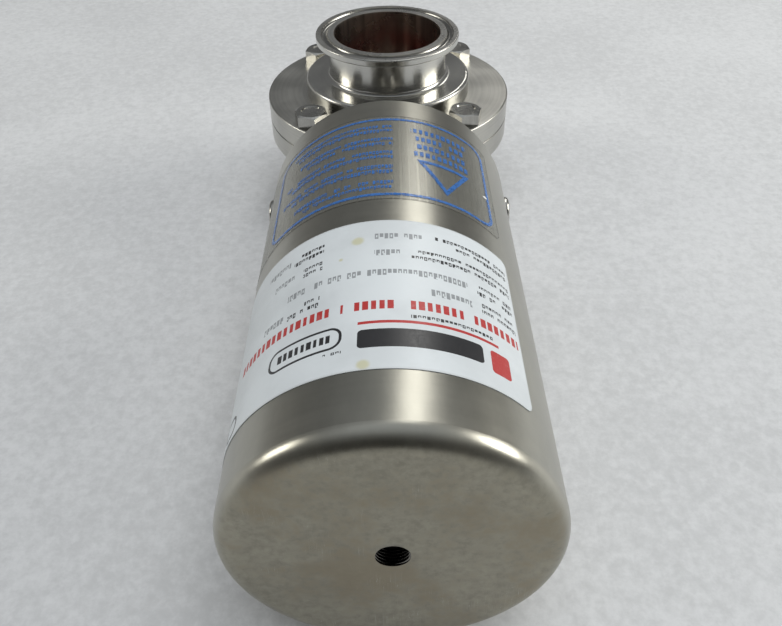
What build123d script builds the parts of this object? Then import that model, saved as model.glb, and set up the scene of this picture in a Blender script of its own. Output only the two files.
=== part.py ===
# Sanitary butterfly valve with clamp ends and a spring-closing air actuator.
#
# The flow axis is +Z and the actuator lies along Y, with its cap towards -Y.
# The origin is the centre of the lower clamp face.
# A "station" is a distance along the actuator from the outside of its cap.
from build123d import *
import os
from math import radians, tan

os.makedirs("parts", exist_ok=True)

# ---- driving dimensions, millimetres ----
port_radius = 23.9            # bore of 2 inch sanitary tube
ferrule_radius = 32.0         # 64 mm clamp ferrule
face_height = 36.2            # from the seam between the body halves to a clamp face
flange_radius = 55.6
flange_half = 9.75            # thickness of one body half at its rim
boss_radius = 37.5
boss_top = 17.4               # above the seam
neck_radius = 26.4
bolt_circle = 94.5
tube_radius = 44.45           # 88.9 mm tube
tube_wall = 2.0
tube_length = 156.0
cap_to_flow_axis = 241.0
stroke = 33.0                 # piston travel for a quarter turn
clearance = 0.05              # radial, in every running fit

# ---- places and sizes that follow ----
axis_height = face_height
cap_y = -cap_to_flow_axis
bore_radius = tube_radius - tube_wall
plug_start = tube_length - 15.0
pad_y = -51.0                 # flat on the body rim that carries the bracket
pad_station = pad_y - cap_y
seat_radius = 33.3
seat_half = 10.4
stem_radius = 6.0
bush_radius = 8.0
bush_start = 37.2             # distance of each stem bush from the flow axis
tail_bore_end = 46.0
disc_radius = 23.6
piston_front = 10.0
piston_back = 26.0
pin_station = 70.0
pin_radius = 4.0
roller_radius = 6.0
cam_roller_radius = 5.0
sleeve_start = 60.0
sleeve_bore = 15.1
sleeve_radius = 18.3
shaft_radius = sleeve_bore - clearance
shaft_neck_radius = 11.0
shaft_bore = 9.0
foot_screw_x = 14.5
foot_screw_z = 4.9
base_screw_circle = 54.0
side_screw_station = 150.0

actuator_axis = Axis((0, cap_y, axis_height), (0, 1, 0))
# local x is the station and local y the radius
actuator_section = Plane(origin=(0, cap_y, axis_height), x_dir=(0, 1, 0), z_dir=(-1, 0, 0))
# local x is the radius and local y the height above the seam
flow_section = Plane(origin=(0, 0, axis_height), x_dir=(1, 0, 0), z_dir=(0, -1, 0))
seam = Plane.XY.offset(axis_height)


def across(station):
    """Plane square to the actuator at a station; its local y points down."""
    return Plane(origin=(0, cap_y + station, axis_height), x_dir=(1, 0, 0), z_dir=(0, 1, 0))


def band(start, end, inner, outer):
    """Rectangle from one station to another and from one radius to another."""
    with Locations(((start + end) / 2, (inner + outer) / 2)):
        Rectangle(end - start, outer - inner)


def rings(*bands):
    """Body of revolution about the actuator from (start, end, inner, outer) bands."""
    with BuildPart() as turned:
        with BuildSketch(actuator_section):
            for each in bands:
                band(*each)
        revolve(axis=actuator_axis)
    return turned.part


def o_ring(station, centre_radius, section_radius):
    """Round-section ring about the actuator axis."""
    with BuildPart() as ring:
        with BuildSketch(actuator_section):
            with Locations((station, centre_radius)):
                Circle(section_radius)
        revolve(axis=actuator_axis)
    return ring.part


def circle_edges(part, radius, height):
    """Circular edges of one radius at one height above the seam."""
    return part.edges().filter_by(GeomType.CIRCLE).filter_by(
        lambda e: abs(e.radius - radius) < 0.01 and abs(e.center().Z - axis_height - height) < 0.01
    )


# ======================= valve body =======================
lip = 2.85
lip_taper = (ferrule_radius - neck_radius) * tan(radians(20))
gasket_groove_radius = 28.2
gasket_groove_section = 1.5
bolt_hole_radius = 4.25
seat_pocket = 0.1             # play of the seat in its pocket


def body_half(side):
    """Body half on one side of the seam: +1 above it, -1 below it."""
    pocket_radius = seat_radius + seat_pocket
    pocket_end = side * (seat_half + seat_pocket)
    with BuildPart() as half:
        with BuildSketch(flow_section):
            with BuildLine():
                Polyline(
                    (pocket_radius, 0),
                    (flange_radius, 0),
                    (flange_radius, side * flange_half),
                    (boss_radius, side * flange_half),
                    (boss_radius, side * boss_top),
                    (neck_radius, side * boss_top),
                    (neck_radius, side * (face_height - lip - lip_taper)),
                    (ferrule_radius, side * (face_height - lip)),
                    (ferrule_radius, side * face_height),
                    (port_radius, side * face_height),
                    (port_radius, pocket_end),
                    (pocket_radius, pocket_end),
                    close=True,
                )
            make_face()
        revolve(axis=Axis.Z)
        fillet(circle_edges(half, neck_radius, side * boss_top), radius=2.0)
        fillet(circle_edges(half, boss_radius, side * boss_top), radius=1.6)
        fillet(circle_edges(half, flange_radius, side * flange_half), radius=0.8)
        chamfer(circle_edges(half, flange_radius, 0), length=0.3)
        fillet(circle_edges(half, ferrule_radius, side * face_height), radius=0.5)
        fillet(circle_edges(half, ferrule_radius, side * (face_height - lip)), radius=0.6)
        # groove for the joint ring in the clamp face
        with BuildSketch(flow_section):
            with Locations((gasket_groove_radius, side * face_height)):
                Circle(gasket_groove_section)
        revolve(axis=Axis.Z, mode=Mode.SUBTRACT)
        # four bolt holes through the rim
        with BuildSketch(seam):
            with PolarLocations(bolt_circle / 2, 4, start_angle=45):
                Circle(bolt_hole_radius)
        extrude(amount=side * flange_half, mode=Mode.SUBTRACT)
        # half of the stem bore: through on the drive side, blind on the tail side
        with BuildSketch(across(pad_station - 6)):
            Circle(bush_radius)
        extrude(amount=6 - pad_y - seat_radius + 2, mode=Mode.SUBTRACT)
        with BuildSketch(across(cap_to_flow_axis + seat_radius - 2)):
            Circle(bush_radius)
        extrude(amount=tail_bore_end - seat_radius + 2, mode=Mode.SUBTRACT)
        # flat pad on the rim for the bracket, with its two threaded holes
        with BuildSketch(across(pad_station)):
            Rectangle(2 * flange_radius, 2 * flange_half + 1)
        extrude(amount=-8, mode=Mode.SUBTRACT)
        with BuildSketch(across(pad_station)):
            with Locations((-foot_screw_x, -side * foot_screw_z), (foot_screw_x, -side * foot_screw_z)):
                Circle(2.55)
        extrude(amount=13, mode=Mode.SUBTRACT)
    return half.part


upper_body_half = body_half(1)
upper_body_half.label = "upper_body_half"
export_step(upper_body_half, "parts/upper_body_half.step")

lower_body_half = body_half(-1)
lower_body_half.label = "lower_body_half"
export_step(lower_body_half, "parts/lower_body_half.step")

# ---- seat, gripped between the halves ----
with BuildPart() as seat_ring:
    with BuildSketch(flow_section):
        with Locations(((port_radius + seat_radius) / 2, 0)):
            Rectangle(seat_radius - port_radius, 2 * seat_half)
    revolve(axis=Axis.Z)
    chamfer(seat_ring.edges().filter_by(GeomType.CIRCLE).group_by(SortBy.RADIUS)[0], length=0.6)
    with BuildSketch(across(cap_to_flow_axis)):
        Circle(stem_radius + clearance)
    extrude(amount=2 * seat_radius, both=True, mode=Mode.SUBTRACT)
seat_ring.part.label = "seat_ring"
export_step(seat_ring.part, "parts/seat_ring.step")

# ---- disc with its stem in one piece, closed across the flow ----
disc_edge_half = 1.5
disc_middle_half = 4.2
hub_radius = 7.0
hub_end = 22.4
stem_square = 9.0
stem_square_start = 171.0
stem_square_end = 178.5
tail_stem_end = 45.6
with BuildPart() as butterfly_disc:
    with BuildSketch(flow_section):
        with BuildLine():
            Line((0, -disc_middle_half), (0, disc_middle_half))
            Line((0, disc_middle_half), (9, disc_middle_half))
            Spline((9, disc_middle_half), (disc_radius, disc_edge_half), tangents=((1, 0), (1, -0.05)))
            Line((disc_radius, disc_edge_half), (disc_radius, -disc_edge_half))
            Spline((disc_radius, -disc_edge_half), (9, -disc_middle_half), tangents=((-1, -0.05), (-1, 0)))
            Line((9, -disc_middle_half), (0, -disc_middle_half))
        make_face()
    revolve(axis=Axis.Z)
    with BuildSketch(across(cap_to_flow_axis)):
        Circle(hub_radius)
    extrude(amount=hub_end, both=True)
    with BuildSketch(across(stem_square_end)):
        Circle(stem_radius)
    extrude(amount=cap_to_flow_axis - stem_square_end + tail_stem_end)
    with BuildSketch(across(stem_square_start)):
        Rectangle(stem_square, stem_square)
    extrude(amount=stem_square_end - stem_square_start)
    chamfer(butterfly_disc.faces().sort_by(Axis.Y)[0].edges(), length=0.6)
butterfly_disc.part.label = "butterfly_disc"
export_step(butterfly_disc.part, "parts/butterfly_disc.step")

# ---- bushes and seals of the stem ----
drive_stem_bush = rings((pad_station, cap_to_flow_axis - bush_start, stem_radius + clearance, bush_radius))
drive_stem_bush.label = "drive_stem_bush"
export_step(drive_stem_bush, "parts/drive_stem_bush.step")

tail_stem_bush = rings(
    (cap_to_flow_axis + bush_start, cap_to_flow_axis + tail_bore_end - 0.2, stem_radius + clearance, bush_radius)
)
tail_stem_bush.label = "tail_stem_bush"
export_step(tail_stem_bush, "parts/tail_stem_bush.step")

stem_ring_section = 0.95
stem_ring_place = (seat_radius + bush_start) / 2
with BuildPart() as stem_o_rings:
    with BuildSketch(actuator_section):
        for along in (-stem_ring_place, stem_ring_place):
            with Locations((cap_to_flow_axis + along, bush_radius - stem_ring_section - 0.02)):
                Circle(stem_ring_section)
    revolve(axis=actuator_axis)
stem_o_rings.part.label = "stem_o_rings"
export_step(stem_o_rings.part, "parts/stem_o_rings.step")

# ---- M8 bolts of the body: heads above, washers and nuts below ----
bolt_head_height = 5.3
bolt_radius = 4.0
turned_corner = 0.8
dimple_radius = 4.0
hexagon = 13.0                # across flats
washer_thickness = 1.6
nut_height = 6.5
washer_face = axis_height - flange_half - washer_thickness


def hexagon_corner_radius(across_flats):
    return across_flats / 3**0.5


# one bolt, standing on the origin: hexagon with its top corners turned off and a shallow dimple
with BuildPart() as one_bolt:
    with BuildSketch():
        RegularPolygon(hexagon_corner_radius(hexagon), 6)
    extrude(amount=bolt_head_height)
    with BuildSketch(Plane.XZ):
        with BuildLine():
            Polyline(
                (0, 0),
                (hexagon_corner_radius(hexagon) + 0.1, 0),
                (hexagon_corner_radius(hexagon) + 0.1, bolt_head_height - turned_corner),
                (0.47 * hexagon, bolt_head_height),
                (0, bolt_head_height),
                close=True,
            )
        make_face()
    revolve(axis=Axis.Z, mode=Mode.INTERSECT)
    with BuildSketch(Plane.XY.offset(bolt_head_height)):
        Circle(dimple_radius)
    extrude(amount=-0.4, mode=Mode.SUBTRACT)
    chamfer(circle_edges(one_bolt, dimple_radius, bolt_head_height - axis_height), length=0.35)
    with BuildSketch():
        Circle(bolt_radius)
    extrude(amount=-(2 * flange_half + washer_thickness + nut_height + 1.5))
    chamfer(one_bolt.faces().sort_by(Axis.Z)[0].edges(), length=0.7)

with BuildPart(seam.offset(flange_half)) as body_bolts:
    with PolarLocations(bolt_circle / 2, 4, start_angle=45):
        add(one_bolt.part)
body_bolts.part.label = "body_bolts"
export_step(body_bolts.part, "parts/body_bolts.step")

with BuildPart() as body_washers:
    with BuildSketch(Plane.XY.offset(washer_face)):
        with PolarLocations(bolt_circle / 2, 4, start_angle=45):
            Circle(8.0)
            Circle(4.2, mode=Mode.SUBTRACT)
    extrude(amount=washer_thickness)
body_washers.part.label = "body_washers"
export_step(body_washers.part, "parts/body_washers.step")

with BuildPart() as body_nuts:
    with BuildSketch(Plane.XY.offset(washer_face)):
        with PolarLocations(bolt_circle / 2, 4, start_angle=45):
            RegularPolygon(hexagon_corner_radius(hexagon), 6)
            Circle(bolt_radius + 0.05, mode=Mode.SUBTRACT)
    extrude(amount=-nut_height)
body_nuts.part.label = "body_nuts"
export_step(body_nuts.part, "parts/body_nuts.step")

# ======================= bracket between valve and actuator =======================
base_thickness = 5.0
base_radius = 33.0
foot_thickness = 5.0
foot_start = pad_station - foot_thickness
cheek_inner = 20.5
cheek_outer = 24.5
with BuildPart() as mounting_bracket:
    with BuildSketch(across(tube_length)):
        Circle(base_radius)
    extrude(amount=base_thickness)
    with BuildSketch(across(tube_length + base_thickness)):
        for side in (-1, 1):
            with Locations((side * (cheek_inner + cheek_outer) / 2, 0)):
                Rectangle(cheek_outer - cheek_inner, 2 * flange_half)
    extrude(amount=foot_start - tube_length - base_thickness)
    with BuildSketch(across(foot_start)):
        Rectangle(2 * cheek_outer, 2 * flange_half)
    extrude(amount=foot_thickness)
    inner_corners = mounting_bracket.edges().filter_by(Axis.Z).filter_by(
        lambda e: abs(abs(e.center().X) - cheek_inner) < 0.01
    )
    fillet(inner_corners, radius=1.5)
    with BuildSketch(across(tube_length)):
        Circle(14.5)
        with PolarLocations(base_screw_circle / 2, 4, start_angle=45):
            Circle(3.3)
    extrude(amount=base_thickness, mode=Mode.SUBTRACT)
    with BuildSketch(across(foot_start)):
        Circle(stem_radius + 0.5)
        with GridLocations(2 * foot_screw_x, 2 * foot_screw_z, 2, 2):
            Circle(2.75)
    extrude(amount=foot_thickness, mode=Mode.SUBTRACT)
mounting_bracket.part.label = "mounting_bracket"
export_step(mounting_bracket.part, "parts/mounting_bracket.step")

with BuildPart() as bracket_screws:
    with BuildSketch(across(tube_length + base_thickness)):
        with PolarLocations(base_screw_circle / 2, 4, start_angle=45):
            Circle(5.0)
            RegularPolygon(2.9, 6, mode=Mode.SUBTRACT)
    extrude(amount=6)
    with BuildSketch(across(tube_length + base_thickness)):
        with PolarLocations(base_screw_circle / 2, 4, start_angle=45):
            Circle(5.0)
    extrude(amount=2.5)
    with BuildSketch(across(tube_length + base_thickness)):
        with PolarLocations(base_screw_circle / 2, 4, start_angle=45):
            Circle(3.0)
    extrude(amount=-16)
bracket_screws.part.label = "bracket_screws"
export_step(bracket_screws.part, "parts/bracket_screws.step")

with BuildPart() as foot_screws:
    with BuildSketch(across(foot_start)):
        with GridLocations(2 * foot_screw_x, 2 * foot_screw_z, 2, 2):
            Circle(4.25)
            RegularPolygon(2.3, 6, mode=Mode.SUBTRACT)
    extrude(amount=-5)
    with BuildSketch(across(foot_start)):
        with GridLocations(2 * foot_screw_x, 2 * foot_screw_z, 2, 2):
            Circle(4.25)
    extrude(amount=-2.2)
    with BuildSketch(across(foot_start)):
        with GridLocations(2 * foot_screw_x, 2 * foot_screw_z, 2, 2):
            Circle(2.5)
    extrude(amount=foot_thickness + 12)
foot_screws.part.label = "foot_screws"
export_step(foot_screws.part, "parts/foot_screws.step")

# ---- coupling between the output shaft and the stem ----
shaft_square = 12.0
shaft_square_start = 163.5
coupling_split = 170.75
coupling_radius = 12.0
with BuildPart() as drive_coupling:
    with BuildSketch(across(shaft_square_start)):
        Circle(coupling_radius)
    extrude(amount=stem_square_end - shaft_square_start)
    chamfer(drive_coupling.edges().filter_by(GeomType.CIRCLE), length=0.6)
    with BuildSketch(across(shaft_square_start)):
        Rectangle(shaft_square + 0.1, shaft_square + 0.1)
    extrude(amount=coupling_split - shaft_square_start, mode=Mode.SUBTRACT)
    with BuildSketch(across(stem_square_end)):
        Rectangle(stem_square + 0.1, stem_square + 0.1)
    extrude(amount=coupling_split - stem_square_end, mode=Mode.SUBTRACT)
drive_coupling.part.label = "drive_coupling"
export_step(drive_coupling.part, "parts/drive_coupling.step")

# ======================= actuator casing =======================
cap_thickness = 3.0
port_minor_radius = 4.3       # G 1/8 thread, between its crests
port_spigot = 6.5
port_boss_end = 9.0
side_screw_radius = 3.0
with BuildPart() as cylinder_hollow:
    with BuildSketch(actuator_section):
        band(cap_thickness, tube_length, 0, bore_radius)
    revolve(axis=actuator_axis)
    fillet(cylinder_hollow.faces().sort_by(Axis.Y)[0].edges(), radius=3.6)

with BuildPart() as actuator_cylinder:
    with BuildSketch(actuator_section):
        band(0, tube_length, 0, tube_radius)
    revolve(axis=actuator_axis)
    fillet(actuator_cylinder.faces().sort_by(Axis.Y)[0].edges(), radius=5.6)
    add(cylinder_hollow.part, mode=Mode.SUBTRACT)
    with BuildSketch(across(0)):
        Circle(port_spigot)
    extrude(amount=cap_thickness, mode=Mode.SUBTRACT)
    with BuildSketch(Plane.YZ):
        with Locations((cap_y + side_screw_station, axis_height)):
            Circle(side_screw_radius + 0.2)
    extrude(amount=tube_radius + 1, both=True, mode=Mode.SUBTRACT)
actuator_cylinder.part.label = "actuator_cylinder"
export_step(actuator_cylinder.part, "parts/actuator_cylinder.step")

air_port_boss = rings(
    (0, cap_thickness, port_minor_radius, port_spigot),
    (cap_thickness, port_boss_end, port_minor_radius, 9.0),
)
air_port_boss.label = "air_port_boss"
export_step(air_port_boss, "parts/air_port_boss.step")

# ---- end plug, held in the tube by two screws from the sides ----
plug_radius = bore_radius - 0.05
ring_groove_start = 142.3
ring_groove_end = 144.9
plug_ring_section = 0.95
seal_start = 151.0
seal_radius = 16.0
shaft_bush_radius = 13.0
breather_offset = 38.0
sleeve_screw_circle = 45.0
with BuildPart() as end_plug:
    with BuildSketch(actuator_section):
        band(plug_start, ring_groove_start, shaft_bush_radius, plug_radius)
        band(ring_groove_start, ring_groove_end, shaft_bush_radius, plug_radius - 2)
        band(ring_groove_end, seal_start, shaft_bush_radius, plug_radius)
        band(seal_start, tube_length, seal_radius, plug_radius)
    revolve(axis=actuator_axis)
    chamfer(end_plug.faces().sort_by(Axis.Y)[-1].edges().sort_by(SortBy.RADIUS)[-1], length=0.6)
    # threaded holes: bracket screws behind, guide screws in front, one screw in each side
    with BuildSketch(across(tube_length)):
        with PolarLocations(base_screw_circle / 2, 4, start_angle=45):
            Circle(3.05)
    extrude(amount=-12, mode=Mode.SUBTRACT)
    with BuildSketch(across(plug_start)):
        with PolarLocations(sleeve_screw_circle / 2, 4):
            Circle(2.05)
    extrude(amount=9, mode=Mode.SUBTRACT)
    for side in (-1, 1):
        with BuildSketch(Plane.YZ.offset(side * 29)):
            with Locations((cap_y + side_screw_station, axis_height)):
                Circle(side_screw_radius)
        extrude(amount=side * 14, mode=Mode.SUBTRACT)
    # vent of the spring chamber
    with BuildSketch(across(plug_start)):
        with Locations((0, breather_offset)):
            Circle(1.2)
    extrude(amount=tube_length - plug_start, mode=Mode.SUBTRACT)
    with BuildSketch(across(tube_length)):
        with Locations((0, breather_offset)):
            Circle(2.5)
    extrude(amount=-7, mode=Mode.SUBTRACT)
end_plug.part.label = "end_plug"
export_step(end_plug.part, "parts/end_plug.step")

end_plug_o_ring = o_ring(
    (ring_groove_start + ring_groove_end) / 2, plug_radius - plug_ring_section, plug_ring_section
)
end_plug_o_ring.label = "end_plug_o_ring"
export_step(end_plug_o_ring, "parts/end_plug_o_ring.step")

with BuildPart() as breather:
    with BuildSketch(across(tube_length)):
        with Locations((0, breather_offset)):
            RegularPolygon(hexagon_corner_radius(7), 6)
    extrude(amount=3)
    with BuildSketch(across(tube_length)):
        with Locations((0, breather_offset)):
            Circle(2.45)
    extrude(amount=-6.5)
    with BuildSketch(across(tube_length - 6.5)):
        with Locations((0, breather_offset)):
            Circle(1.0)
    extrude(amount=9.5, mode=Mode.SUBTRACT)
breather.part.label = "breather"
export_step(breather.part, "parts/breather.step")

side_head_radius = 6.0
side_head_height = 1.7
with BuildPart() as side_screws:
    for side in (-1, 1):
        with BuildSketch(Plane.YZ.offset(side * tube_radius)):
            with Locations((cap_y + side_screw_station, axis_height)):
                Circle(side_head_radius)
        extrude(amount=side * side_head_height)
    head_rims = side_screws.faces().filter_by(Plane.YZ).edges().filter_by(
        lambda e: abs(abs(e.center().X) - tube_radius - side_head_height) < 0.01
    )
    fillet(head_rims, radius=1.3)
    for side in (-1, 1):
        with BuildSketch(Plane.YZ.offset(side * tube_radius)):
            with Locations((cap_y + side_screw_station, axis_height)):
                Circle(side_screw_radius - 0.05)
        extrude(amount=side * -13)
        with BuildSketch(Plane.YZ.offset(side * (tube_radius + side_head_height))):
            with Locations((cap_y + side_screw_station, axis_height)):
                RegularPolygon(2.3, 6)
        extrude(amount=side * -2.2, mode=Mode.SUBTRACT)
side_screws.part.label = "side_screws"
export_step(side_screws.part, "parts/side_screws.step")

# ---- labels on the tube; angles go from the top towards +X ----
def wrapped(start, end, first_angle, last_angle, thickness, corner):
    """Thin sheet wrapped round the tube, with rounded corners."""
    normal = Vector(0, 0, 1).rotate(Axis.Y, first_angle + 90)
    with BuildPart() as sheet:
        with BuildSketch(Plane(origin=(0, cap_y, axis_height), x_dir=(0, 1, 0), z_dir=normal)):
            band(start, end, tube_radius, tube_radius + thickness)
        revolve(axis=actuator_axis, revolution_arc=last_angle - first_angle)
        fillet(sheet.edges().filter_by(lambda e: e.length < 2 * thickness), radius=corner)
    return sheet.part


data_label = wrapped(20.9, 80.6, -95, 51.0, 0.15, 2.5)
data_label.label = "data_label"
export_step(data_label, "parts/data_label.step")

caution_film = wrapped(91.9, 144.0, -79, 50.5, 0.15, 2.5)
caution_film.label = "caution_film"
export_step(caution_film, "parts/caution_film.step")

# ======================= quarter-turn drive, inside =======================
slot_width = 2 * (roller_radius + clearance)
sleeve_flange_radius = 27.0
sleeve_flange_start = plug_start - 3.0
with BuildPart() as guide_sleeve:
    with BuildSketch(actuator_section):
        band(sleeve_start, plug_start, sleeve_bore, sleeve_radius)
        band(sleeve_flange_start, plug_start, sleeve_radius, sleeve_flange_radius)
    revolve(axis=actuator_axis)
    # the straight slots that keep the cross pin from turning
    with BuildSketch(Plane.YZ):
        with Locations((cap_y + pin_station + stroke / 2, axis_height)):
            SlotOverall(stroke + slot_width, slot_width)
    extrude(amount=sleeve_radius + 1, both=True, mode=Mode.SUBTRACT)
    with BuildSketch(across(sleeve_flange_start)):
        with PolarLocations(sleeve_screw_circle / 2, 4):
            Circle(2.2)
    extrude(amount=3, mode=Mode.SUBTRACT)
    with BuildSketch(across(sleeve_flange_start)):
        with PolarLocations(sleeve_screw_circle / 2, 4):
            Circle(3.6)
    extrude(amount=1.7, mode=Mode.SUBTRACT)
guide_sleeve.part.label = "guide_sleeve"
export_step(guide_sleeve.part, "parts/guide_sleeve.step")

with BuildPart() as sleeve_screws:
    with BuildSketch(across(sleeve_flange_start + 1.7)):
        with PolarLocations(sleeve_screw_circle / 2, 4):
            Circle(3.5)
    extrude(amount=-1.6)
    with BuildSketch(across(sleeve_flange_start + 1.7)):
        with PolarLocations(sleeve_screw_circle / 2, 4):
            Circle(2.0)
    extrude(amount=9)
sleeve_screws.part.label = "sleeve_screws"
export_step(sleeve_screws.part, "parts/sleeve_screws.step")

spring_seat = rings((sleeve_flange_start, plug_start, sleeve_flange_radius + 0.3, 41.5))
spring_seat.label = "spring_seat"
export_step(spring_seat, "parts/spring_seat.step")


def coil_spring(mean_radius, wire_radius, turns, left_handed):
    """Compression spring from the back of the piston to the spring seat, at rest."""
    length = sleeve_flange_start - piston_back - 2 * wire_radius - 0.1
    start = (0, cap_y + piston_back + wire_radius + 0.05, axis_height)
    with BuildPart() as spring:
        with BuildLine() as coil:
            Helix(length / turns, length, mean_radius, start, (0, 1, 0), lefthand=left_handed)
        with BuildSketch(Plane(origin=coil.line @ 0, z_dir=coil.line % 0)):
            Circle(wire_radius)
        sweep(path=coil.line, is_frenet=True)
    return spring.part


outer_spring = coil_spring(34.5, 2.75, 7.5, False)
outer_spring.label = "outer_spring"
export_step(outer_spring, "parts/outer_spring.step")

inner_spring = coil_spring(27.6, 2.0, 9.5, True)
inner_spring.label = "inner_spring"
export_step(inner_spring, "parts/inner_spring.step")

# ---- piston, with a hub that carries the cross pin over the sleeve ----
piston_radius = 42.0
sliding_radius = bore_radius - clearance
seal_groove = (14.2, 18.2, 38.0)
guide_groove = (20.3, 24.5, 40.4)
hub_outer = 22.5
hub_length_end = 76.5
with BuildPart() as piston:
    with BuildSketch(actuator_section):
        band(piston_front, seal_groove[0], 0, piston_radius)
        band(seal_groove[0], seal_groove[1], 0, seal_groove[2])
        band(seal_groove[1], guide_groove[0], 0, piston_radius)
        band(guide_groove[0], guide_groove[1], 0, guide_groove[2])
        band(guide_groove[1], piston_back, 0, piston_radius)
        band(piston_back, hub_length_end, sleeve_radius + clearance, hub_outer)
    revolve(axis=actuator_axis)
    with BuildSketch(across(piston_front)):
        Circle(14)
    extrude(amount=2, mode=Mode.SUBTRACT)
    with BuildSketch(Plane.YZ):
        with Locations((cap_y + pin_station, axis_height)):
            Circle(pin_radius + 0.02)
    extrude(amount=hub_outer + 1, both=True, mode=Mode.SUBTRACT)
piston.part.label = "piston"
export_step(piston.part, "parts/piston.step")

with BuildPart() as piston_seal:
    with BuildSketch(actuator_section):
        band(seal_groove[0], seal_groove[1], seal_groove[2], sliding_radius)
        with Locations((seal_groove[0], (seal_groove[2] + sliding_radius) / 2)):
            Circle(1.2, mode=Mode.SUBTRACT)
    revolve(axis=actuator_axis)
piston_seal.part.label = "piston_seal"
export_step(piston_seal.part, "parts/piston_seal.step")

piston_guide_ring = rings((guide_groove[0], guide_groove[1], guide_groove[2], sliding_radius))
piston_guide_ring.label = "piston_guide_ring"
export_step(piston_guide_ring, "parts/piston_guide_ring.step")

pin_plane = Plane(origin=(0, cap_y + pin_station, axis_height), x_dir=(0, 1, 0), z_dir=(1, 0, 0))
with BuildPart() as cross_pin:
    with BuildSketch(pin_plane):
        Circle(pin_radius)
    extrude(amount=hub_outer - 0.3, both=True)
    chamfer(cross_pin.edges().filter_by(GeomType.CIRCLE), length=0.6)
cross_pin.part.label = "cross_pin"
export_step(cross_pin.part, "parts/cross_pin.step")

# outer rollers run in the straight slots, inner ones in the cam slots
outer_roller = (15.3, 17.2)
inner_roller = (9.3, 14.9)
with BuildPart() as pin_rollers:
    for side in (-1, 1):
        for span, radius in ((outer_roller, roller_radius), (inner_roller, cam_roller_radius)):
            with BuildSketch(pin_plane.offset(side * span[0])):
                Circle(radius)
                Circle(pin_radius + 0.03, mode=Mode.SUBTRACT)
            extrude(amount=side * (span[1] - span[0]))
pin_rollers.part.label = "pin_rollers"
export_step(pin_rollers.part, "parts/pin_rollers.step")

# ---- output shaft: its cam slots turn it a quarter turn over the stroke ----
shaft_start = 62.5
shaft_bore_end = 112.0
shoulder = 139.1
ring_slot = (157.0, 158.3)
cam_width = 2 * (cam_roller_radius + clearance)
cam_middle = 12.0
cam_depth = 8.0
with BuildPart() as cam_cutter:
    with BuildLine() as cam_line:
        Helix(4 * stroke, stroke, cam_middle, lefthand=True)
    with BuildSketch(Plane(origin=cam_line.line @ 0, x_dir=(1, 0, 0), z_dir=cam_line.line % 0)):
        Rectangle(cam_depth, cam_width)
    sweep(path=cam_line.line, is_frenet=True)
    with BuildSketch(Plane.YZ.offset(cam_middle - cam_depth / 2)):
        Circle(cam_width / 2)
    extrude(amount=cam_depth)
    with BuildSketch(Plane.XZ.offset(cam_middle - cam_depth / 2)):
        with Locations((0, stroke)):
            Circle(cam_width / 2)
    extrude(amount=cam_depth)

with BuildPart() as output_shaft:
    with BuildSketch(actuator_section):
        band(shaft_start, shaft_bore_end, shaft_bore, shaft_radius)
        band(shaft_bore_end, shoulder, 0, shaft_radius)
        band(shoulder, ring_slot[0], 0, shaft_neck_radius)
        band(ring_slot[0], ring_slot[1], 0, shaft_neck_radius - 0.8)
        band(ring_slot[1], shaft_square_start, 0, shaft_neck_radius)
    revolve(axis=actuator_axis)
    with BuildSketch(across(shaft_square_start)):
        Rectangle(shaft_square, shaft_square)
    extrude(amount=7)
    pin_place = across(pin_station).location
    with Locations(pin_place, pin_place * Rotation(0, 0, 180)):
        add(cam_cutter.part, mode=Mode.SUBTRACT)
output_shaft.part.label = "output_shaft"
export_step(output_shaft.part, "parts/output_shaft.step")

shaft_bush = rings((plug_start, seal_start, shaft_neck_radius + clearance, shaft_bush_radius))
shaft_bush.label = "shaft_bush"
export_step(shaft_bush, "parts/shaft_bush.step")

thrust_washer = rings((shoulder + 0.1, plug_start, shaft_neck_radius + clearance, sleeve_bore - 0.2))
thrust_washer.label = "thrust_washer"
export_step(thrust_washer, "parts/thrust_washer.step")

shaft_seal = rings(
    (seal_start, seal_start + 1.2, shaft_neck_radius + clearance, seal_radius),
    (seal_start + 1.2, tube_length - 0.2, 14.0, seal_radius),
    (seal_start + 1.2, seal_start + 3.6, shaft_neck_radius + clearance, 12.2),
)
shaft_seal.label = "shaft_seal"
export_step(shaft_seal, "parts/shaft_seal.step")

with BuildPart() as retaining_ring:
    with BuildSketch(across(ring_slot[0] + 0.05)):
        Circle(13.5)
        Circle(shaft_neck_radius - 0.75, mode=Mode.SUBTRACT)
        with Locations((12, 0)):
            Rectangle(6, 5, mode=Mode.SUBTRACT)
    extrude(amount=ring_slot[1] - ring_slot[0] - 0.1)
retaining_ring.part.label = "retaining_ring"
export_step(retaining_ring.part, "parts/retaining_ring.step")
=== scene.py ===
import math

import bpy
from mathutils import Matrix, Vector


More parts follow.
